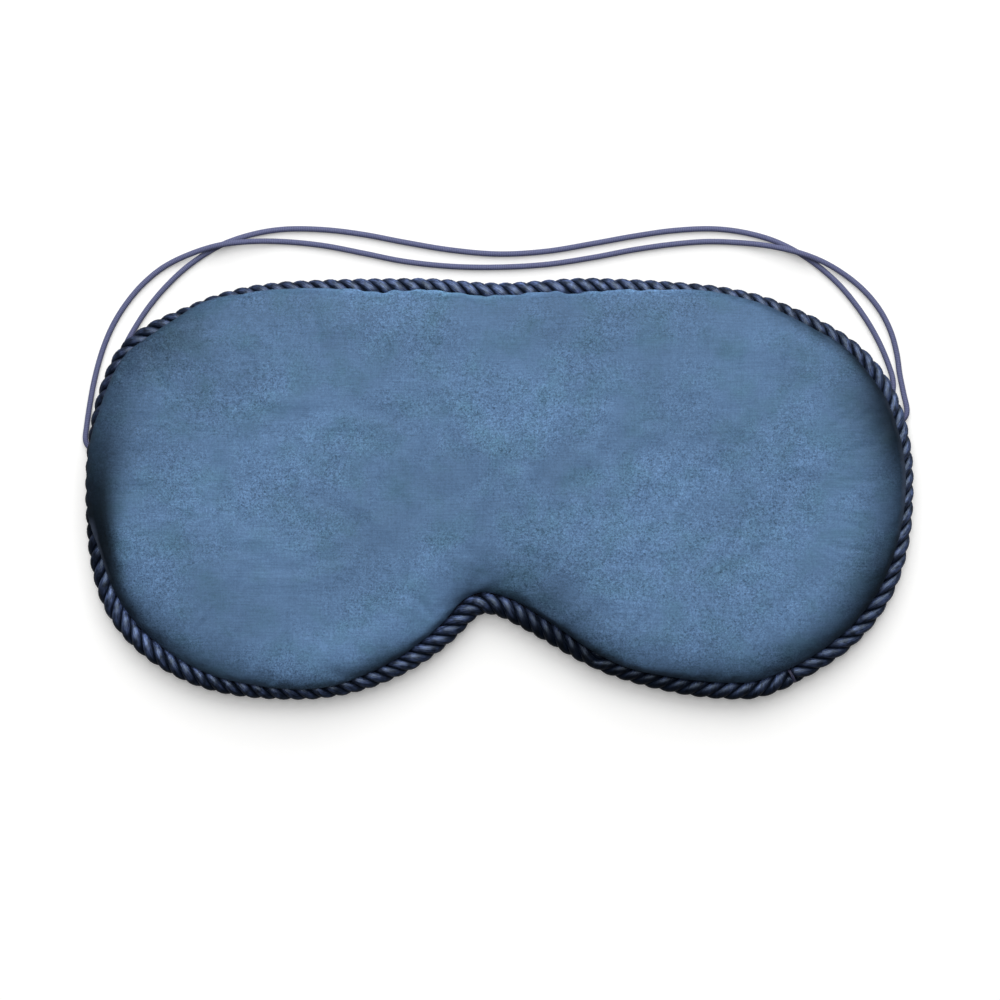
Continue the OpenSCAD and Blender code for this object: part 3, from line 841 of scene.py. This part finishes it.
# How far the front panel's rolled edge lies out over the cord in mm, against the share of the rim
OVERHANG = [
    (0.0, 2.4), (0.01, 2.0), (0.02, 2.6), (0.03, 2.1), (0.036, 2.6), (0.045, 2.4), (0.052, 2.1),
    (0.057, 1.5), (0.063, 2.5), (0.07, 2.8), (0.08, 3.0), (0.09, 3.3), (0.1, 3.5), (0.12, 3.9),
    (0.13, 4.5), (0.137, 4.8), (0.142, 4.7), (0.147, 4.1), (0.152, 3.4), (0.16, 2.7), (0.168, 2.2),
    (0.175, 2.4), (0.183, 2.6), (0.192, 2.9), (0.2, 3.2), (0.21, 3.5), (0.22, 4.1), (0.228, 4.6),
    (0.25, 4.7), (0.258, 4.4), (0.264, 3.6), (0.27, 2.4), (0.276, 1.8), (0.284, 1.3), (0.292, 1.0),
    (0.3, 0.6), (0.308, 0.3), (0.33, 0.3), (0.34, 0.6), (0.35, 1.0), (0.36, 1.4), (0.38, 1.9),
    (0.39, 2.4), (0.4, 2.6), (0.41, 2.5), (0.42, 2.2), (0.43, 1.5), (0.44, 1.2), (0.46, 0.7),
    (0.48, 0.6), (0.49, 0.35), (0.52, 0.35), (0.54, 0.6), (0.55, 1.1), (0.56, 1.5), (0.57, 1.9),
    (0.58, 1.9), (0.59, 1.4), (0.6, 1.2), (0.62, 0.9), (0.64, 0.7), (0.66, 1.1), (0.68, 1.0),
    (0.7, 1.1), (0.72, 1.7), (0.73, 2.0), (0.74, 2.6), (0.75, 2.9), (0.765, 3.1), (0.78, 2.7),
    (0.79, 2.4), (0.8, 2.1), (0.81, 1.6), (0.82, 1.6), (0.83, 2.1), (0.84, 2.5), (0.85, 2.3),
    (0.86, 2.6), (0.87, 3.2), (0.88, 3.6), (0.9, 3.8), (0.91, 3.7), (0.92, 3.2), (0.93, 2.7),
    (0.94, 2.5), (0.95, 2.6), (0.957, 2.2), (0.963, 1.4), (0.97, 2.0), (0.978, 2.8), (0.985, 2.7),
    (0.992, 2.5),
]


def inward(f):
    """Inward directions round the rim, more even from the seam, f = 0, to a panel's last row, 1."""
    return unit(ring_smooth(-rim_out(ROUND_S), 0.6 + 9.0 * f, RIM_LEN / ROUND_N))


def cord_top(d):
    """Height of the edge cord's upper surface at a distance d inside the pad's edge."""
    across = np.clip(np.abs(d + SEAM_INSET), 0, CORD_D / 2)
    return SEAM_Z + np.sqrt((CORD_D / 2) ** 2 - across ** 2)


def puckers(s):
    """Gathers of a panel at its seam, from 0 to 1: uneven large ones with smaller ones on them."""
    large_mm, small_mm = 7.3, 4.4
    large = np.abs(np.sin(math.pi * (s / large_mm + 0.8 * value_noise(s / 12.0, 7))))
    small = np.abs(np.sin(math.pi * (s / small_mm + 0.7 * value_noise(s / 8.0, 9))))
    return 0.65 * large + 0.35 * small


def brow_share(s):
    """1 along the middle of the brow, where the seam puckers show, and 0 elsewhere."""
    half, fade = 0.085, 0.03
    u = np.abs((s / RIM_LEN + 0.5) % 1 - 0.5)
    return np.clip((half - u) / fade, 0, 1)


def front_rows():
    """Rows of points round the front panel, from the seam under its rolled edge to the crown."""
    s = ROUND_S
    rim = rim_at(s)
    brow = brow_share(s)
    gather = puckers(s)
    even = np.maximum(round_rim(OVERHANG, s), MIN_OVERHANG)
    over = round_rim(OVERHANG, s, 0.0025) + 0.8 * brow * (gather - 0.6)
    over = np.maximum(over + 0.1 * value_noise(s / 4.0, 3), MIN_OVERHANG)
    scallop = over - even
    base = np.maximum(cord_top(-over) + EDGE_LIFT, EDGE_Z)
    rows = []
    for k in range(UNDER_ROWS):
        f = k / UNDER_ROWS
        d = TUCK - (over + TUCK) * f ** 0.9
        z = np.maximum(cord_top(d) + CORD_CLEAR, 5.55 + 0.3 * f)
        z = z + (base - cord_top(-over) - CORD_CLEAR) * f ** 3 * (over > 2 * MIN_OVERHANG)
        rows.append((d, z, 0.0))
    for theta in (*range(0, 75, 5), 76, 83, 90):
        a = math.radians(theta)
        fade = math.exp(-(theta / 13) ** 2)
        d = -even + (PANEL_RUN + even) * (1 - math.cos(a)) - scallop * fade
        z = base + (CROWN_Z - base) * math.sin(a)
        rows.append((d, z, theta / 90))
    grid = []
    for d, z, f in rows:
        flat = rim + (SEAM_INSET + d)[:, None] * inward(f)
        dip = 0.35 * brow * (1 - gather) * math.exp(-(f / 0.1) ** 2) * (f > 0)
        grid.append(np.column_stack([flat, z - dip]))
    return np.array(grid)


def fill_inside(loop, spacing):
    """Triangles inside a closed loop of points, over an even lattice. Returns points and faces."""
    low, high = loop.min(0), loop.max(0)
    pts = []
    row = 0
    y = low[1] + spacing
    while y < high[1]:
        x = low[0] + (0.5 * spacing if row % 2 else 0)
        while x < high[0]:
            pts.append((x, y))
            x += spacing
        y += spacing * 0.866
        row += 1
    pts = np.array(pts)
    n = len(loop)
    a, b = loop, np.roll(loop, -1, axis=0)
    inside = np.zeros(len(pts), bool)
    for p, q in zip(a, b):
        crosses = (p[1] > pts[:, 1]) != (q[1] > pts[:, 1])
        if crosses.any():
            at = p[0] + (pts[:, 1] - p[1]) / ((q[1] - p[1]) or 1e-9) * (q[0] - p[0])
            inside ^= crosses & (pts[:, 0] < at)
    gap = np.min(np.linalg.norm(pts[:, None, :] - loop[None, ::2, :], axis=2), axis=1)
    pts = pts[inside & (gap > 0.7 * spacing)]
    everything = np.vstack([loop, pts])
    edges = [(i, (i + 1) % n) for i in range(n)]
    verts, _, faces, *_ = delaunay_2d_cdt([tuple(p) for p in everything], edges, [], 1, 1e-6)
    if len(verts) != len(everything):
        raise RuntimeError("the fill changed the number of points")
    return pts, [tuple(f) for f in faces]


def panel_mesh(grid, spacing):
    """Points and faces of a panel from its rows round the rim and a filled middle."""
    rows, n, _ = grid.shape
    pts, fill = fill_inside(grid[-1, :, :2], spacing)
    z = np.full(len(pts), grid[-1, :, 2].mean())
    points = np.vstack([grid.reshape(-1, 3), np.column_stack([pts, z])])
    faces = strip_faces(rows, n, True)
    start = (rows - 1) * n
    faces += [tuple(start + i for i in f) for f in fill]
    return points, faces


def paint_shade_light(grid):
    """Painted shade, and painted light where below zero, at the rows' points, from their distances
    to the cord and the edge.
    """
    rim, out = rim_at(ROUND_S), rim_out(ROUND_S)
    away = -((grid[:, :, :2] - rim[None]) * out[None]).sum(2)
    behind_cord = 2.2
    depth, width, power = (round_rim(PAINTED_RIM_SHADE_LIGHT, ROUND_S, 0.008, k) for k in (1, 2, 3))
    wide = depth * np.exp(-(np.clip(away - behind_cord, 0, None) / width) ** power)
    # The narrow band along the rolled edge: painted shade, and a painted highlight where below zero
    depth, width = (round_rim(EDGE, ROUND_S, 0.006, k) for k in (1, 2))
    narrow = depth * np.exp(-(np.clip(away - away[UNDER_ROWS], 0, None) / width) ** 2)
    return 1 - (1 - wide) * (1 - narrow)


def edge_shade(rows):
    """Painted shade on the front panel under its rolled edge and on it, less along the brow."""
    brow = brow_share(ROUND_S)
    shade = np.zeros((rows, ROUND_N))
    shade[:UNDER_ROWS] = 0.85
    shade[UNDER_ROWS] = 0.35 - 0.3 * brow
    shade[UNDER_ROWS + 1] = 0.12 - 0.1 * brow
    return shade


def painted_fold_highlight(rows):
    """A painted highlight line on the front panel's rolled edge, along a stretch at each side of
    the mask.
    """
    share = ROUND_S / RIM_LEN
    line = np.zeros(ROUND_N)
    for middle, half, fade, level in ((0.274, 0.016, 0.005, 0.6), (0.77, 0.035, 0.012, 0.5)):
        stretch = np.clip((half - np.abs(share - middle)) / fade, 0, 1)
        line = np.maximum(line, level * stretch)
    line = line * np.clip(0.65 + 0.5 * value_noise(ROUND_S / 6.0, 21), 0, 1)
    fold = np.zeros((rows, ROUND_N))
    for row, weight in ((3, 0.5), (4, 0.8), (5, 0.9), (6, 0.9), (7, 0.5)):
        fold[row] = weight * line
    return fold


def per_point(values, points):
    """Numbers of a panel's rows as one number for each of its points, 0 in its filled middle."""
    full = np.zeros(len(points))
    full[:values.size] = values.ravel()
    return full


def swell_cloth(obj, weights, pressure, grow, cap_mm, sink_mm):
    """Blows the sheet up as cloth, held where weights are 1, and caps how far it moves."""
    frames = 20
    mesh = obj.data
    rest = np.zeros(len(mesh.vertices) * 3)
    mesh.vertices.foreach_get("co", rest)
    rest = rest.reshape(-1, 3)
    hold = obj.vertex_groups.new(name="hold")
    for level in np.unique(np.round(weights, 2)):
        if level > 0:
            index = np.nonzero(np.round(weights, 2) == level)[0]
            hold.add(index.tolist(), float(level), "REPLACE")
    cloth = obj.modifiers.new("cloth", "CLOTH")
    s = cloth.settings
    s.quality = 6
    s.mass = 0.15
    s.tension_stiffness = 25
    s.compression_stiffness = 25
    s.shear_stiffness = 8
    s.bending_stiffness = 0.15
    s.vertex_group_mass = "hold"
    s.use_pressure = True
    s.uniform_pressure_force = pressure
    s.shrink_min = -grow
    s.effector_weights.gravity = 0
    cloth.collision_settings.use_collision = False
    cloth.point_cache.frame_start = 1
    cloth.point_cache.frame_end = frames
    scene = bpy.context.scene
    for f in range(1, frames + 1):
        scene.frame_set(f)
    deps = bpy.context.evaluated_depsgraph_get()
    shown = obj.evaluated_get(deps).to_mesh()
    moved = np.zeros(len(mesh.vertices) * 3)
    shown.vertices.foreach_get("co", moved)
    obj.evaluated_get(deps).to_mesh_clear()
    moved = moved.reshape(-1, 3) - rest
    obj.modifiers.remove(cloth)
    scene.frame_set(1)
    size = np.linalg.norm(moved, axis=1, keepdims=True)
    cap, sink = cap_mm * MM, sink_mm * MM
    kept = moved * (cap * np.tanh(size / cap) / np.maximum(size, 1e-9))
    kept[:, 2] = np.where(kept[:, 2] < 0, sink * np.tanh(kept[:, 2] / sink), kept[:, 2])
    mesh.vertices.foreach_set("co", (rest + kept).ravel())
    mesh.update()


def add_front_panel():
    grid = front_rows()
    rows = len(grid)
    points, faces = panel_mesh(grid, 3.0)
    inner = np.ones(len(points))
    inner[:rows * ROUND_N] = np.repeat(np.linspace(0, 1, rows), ROUND_N)
    middle = np.clip(inner * 2 - 0.6, 0, 1)
    uneven = 0.12 * plane_noise(points[:, 0] / 7, points[:, 1] / 7, 5) * middle
    points[:, 2] += uneven - 0.15 * middle
    values = {"painted_seam_shade": per_point(edge_shade(rows), points),
              "painted_fold_highlight": per_point(painted_fold_highlight(rows), points),
              "painted_shade_light": per_point(paint_shade_light(grid), points)}
    material = satin_material("face_satin_brushed", linear(88, 118, 154), linear(9, 12, 22))
    obj = add_mesh("front_panel_satin", points, faces, material, values=values)
    row = np.repeat(np.arange(rows), ROUND_N)
    hold = per_point(np.interp(row, [0, 3, 5, 8], [1, 1, 0.6, 0]), points)
    hold = np.maximum(hold, np.clip((inner - 0.75) * 3, 0, 0.5))
    swell_cloth(obj, hold, pressure=3.0, grow=0.02, cap_mm=0.6, sink_mm=0.15)
    smooth = obj.modifiers.new("smooth", "SUBSURF")
    smooth.levels = 1
    smooth.render_levels = 1
    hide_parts("front_panel")
    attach(obj, "mask")


def back_height(d):
    """Height of the lining at a distance d inside the pad's edge: it rises to the seam."""
    return 3.75 * np.clip(1 - d / 18, 0, 1) ** 1.4


def add_back_panel():
    rim = rim_at(ROUND_S)
    gather = puckers(ROUND_S + 40)
    grid = []
    for d in (-TUCK, 0.4, 1.1, 1.9, 2.8, 3.8, 5, 6.3, 7.8, 9.4, 11.2, 13.2, 15.4, 18, PANEL_RUN):
        flat = rim + (SEAM_INSET + d) * inward(max(d, 0) / PANEL_RUN)
        ripple = 0.28 * (gather - 0.5) * math.exp(-((d - 2.5) / 3.2) ** 2)
        z = back_height(max(d, 0)) + ripple + 0.02
        grid.append(np.column_stack([flat, np.maximum(z, 0.0)]))
    grid = np.array(grid)
    points, faces = panel_mesh(grid, 4.0)
    faces = [f[::-1] for f in faces]
    # Painted shade on the lining next to the seam
    shade = np.zeros((len(grid), ROUND_N))
    shade[0] = 0.8
    shade[1] = 0.35
    material = satin_material("lining_satin", linear(66, 92, 126), linear(9, 12, 22), grain=0.8)
    obj = add_mesh("back_panel_lining", points, faces, material,
                   values={"painted_seam_shade": per_point(shade, points)})
    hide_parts("back_panel")
    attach(obj, "mask")


# ---- inner layers and sewing

def finish_node(node, material):
    """Gives a CAD node that stays in the scene its material."""
    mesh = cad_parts[node].data
    mesh.materials.clear()
    mesh.materials.append(material)


def add_lip_tape(material):
    """The cord's woven tape, sewn between the panels and reaching in between the cord's plies."""
    rim, n = rim_at(ROUND_S), inward(0)
    steps = (0.0, 1.1, 2.2, 3.3, 4.4)
    top, bottom = 0.85, 0.55
    section = [(d, back_height(d) + top) for d in steps[::-1]]
    section += [(-0.5, 4.78), (-1.4, 4.85), (-1.4, 4.55), (-0.5, 4.45)]
    section += [(d, back_height(d) + bottom) for d in steps]
    grid = np.array([np.column_stack([rim + (SEAM_INSET + d) * n, np.full(ROUND_N, z)])
                     for d, z in section])
    rows = len(grid)
    faces = strip_faces(rows, ROUND_N, True)
    last = (rows - 1) * ROUND_N
    faces += [(last + i, last + (i + 1) % ROUND_N, (i + 1) % ROUND_N, i) for i in range(ROUND_N)]
    obj = add_mesh("lip_tape_twill", grid.reshape(-1, 3), faces, material)
    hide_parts("lip_tape")
    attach(obj, "mask")


def wrap_path(centre, axis, width, height, turns, length):
    """A thread wound round a block of this section along the axis, from one end to the other."""
    axis = unit(np.array(axis, float))
    side = np.cross([0, 0, 1.0], axis)
    up = np.cross(axis, side)
    square, steps = 2.6, 28
    a = np.linspace(0, 2 * math.pi * turns, steps * turns + 1)
    c, s = np.cos(a), np.sin(a)
    shrink = (np.abs(c) ** square + np.abs(s) ** square) ** (-1 / square)
    along = np.linspace(-0.5, 0.5, len(a)) * length
    return (np.array(centre) + along[:, None] * axis + (width / 2 * c * shrink)[:, None] * side
            + (height / 2 * s * shrink)[:, None] * up)


def thread_tube(path, radius, start):
    """Points, faces and UVs of a thread along a path, its faces counted from start."""
    side, up = square_to([0.13, 0.21, 0.97], tangents(path))
    sides = 8
    grid = tube_grid(path, side, up, radius, radius, sides)
    faces = [tuple(start + i for i in f) for f in tube_faces(len(path), sides + 1)]
    return grid.reshape(-1, 3), faces, tube_uv(sides, run_along(path))


def add_threads(name, node, paths, radius, material):
    """One piece made of several lengths of sewing thread, standing for a CAD node."""
    points, faces, uv = [], [], []
    for path in paths:
        p, f, t = thread_tube(path, radius, sum(len(q) for q in points))
        points.append(p)
        faces += f
        uv.append(t)
    obj = add_mesh(name, np.vstack(points), faces, material, uv=np.vstack(uv))
    weld(obj)
    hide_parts(node)
    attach(obj, "mask")


# A bartack's size across the elastic, along it, and in height
BARTACK_L = 3.2
BARTACK_W = 1.6
BARTACK_H = 2.1


def add_bartack(node, ends, material):
    """Close loops of thread round an elastic's end, with four runs of thread laid under them."""
    centre = anchor((ends[0] + ends[1]) / 2)
    axis = np.array([math.cos(ANCHOR_TILT), math.sin(ANCHOR_TILT), 0])
    side = np.array([-axis[1], axis[0], 0])
    thread_r = 0.13
    length, width, height = (x - 2 * thread_r for x in (BARTACK_L, BARTACK_W, BARTACK_H))
    paths = [wrap_path(centre, axis, length, height, 7, width)]
    half_l, half_h, short = 1.2, 0.85, 0.3
    t = np.linspace(-0.5, 0.5, 9)[:, None]
    for turn in (25, 155, 205, 335):
        a = math.radians(turn)
        spot = centre + half_l * math.cos(a) * side + np.array([0, 0, half_h * math.sin(a)])
        paths.append(spot + t * (BARTACK_W - short) * axis)
    add_threads(node + "_thread", node, paths, thread_r, material)


def add_join_tack(material):
    """Thread whipped round the two cut ends of the edge cord where they meet."""
    at, out = rim_at(JOIN_S), rim_out(JOIN_S)
    centre = (at[0], at[1], SEAM_Z)
    axis = (-out[1], out[0], 0)
    turns, short = 3, 0.25
    paths = [wrap_path(centre, axis, w, w, turns, JOIN_GAP - short) for w in (4.2, 2.9, 1.5)]
    add_threads("cord_join_tack_thread", "cord_join_tack", paths, 0.16, material)


def add_stitches(material):
    """The stitches of the seam: short threads that dive into the cloth at both ends."""
    count = 108
    row, half, rise, dive = 2.2, 1.4, 1.09, 0.08
    t = np.linspace(-1, 1, 9)
    s = (np.arange(count) + 0.5) * RIM_LEN / count
    at, out = rim_at(s), rim_out(s)
    z = back_height(row) + rise
    paths = []
    for p, o in zip(at, out):
        along = np.array([-o[1], o[0], 0])
        middle = np.array([*(p - (SEAM_INSET + row) * o), z])
        sag = np.column_stack([0 * t, 0 * t, -dive * t ** 4])
        paths.append(middle + half * t[:, None] * along + sag)
    add_threads("seam_stitches_thread", "seam_stitches", paths, 0.12, material)


def finish_inner_layers():
    """The filling, the interlining, the tape and all that is sewn."""
    wadding = fibre_material("wadding_fibre", linear(214, 214, 210), linear(248, 248, 246))
    finish_node("wadding", wadding)
    weave = cloth_material("blackout_weave", linear(14, 14, 17), linear(38, 38, 42))
    finish_node("blackout_layer", weave)
    add_lip_tape(cloth_material("tape_twill", linear(14, 15, 30), linear(34, 36, 60), 1.4))
    thread = thread_material("navy_thread", linear(20, 22, 46), linear(58, 60, 96))
    add_stitches(thread)
    add_join_tack(thread)
    add_bartack("left_outer_bartack", OUTER_ENDS[0], thread)
    add_bartack("left_inner_bartack", INNER_ENDS[0], thread)
    add_bartack("right_inner_bartack", INNER_ENDS[1], thread)
    add_bartack("right_outer_bartack", OUTER_ENDS[1], thread)


bpy.context.scene.view_settings.view_transform = "Standard"
add_camera()
add_elastics()
add_world()
add_lights()
add_floor()
add_edge_cord()
add_front_panel()
add_back_panel()
finish_inner_layers()
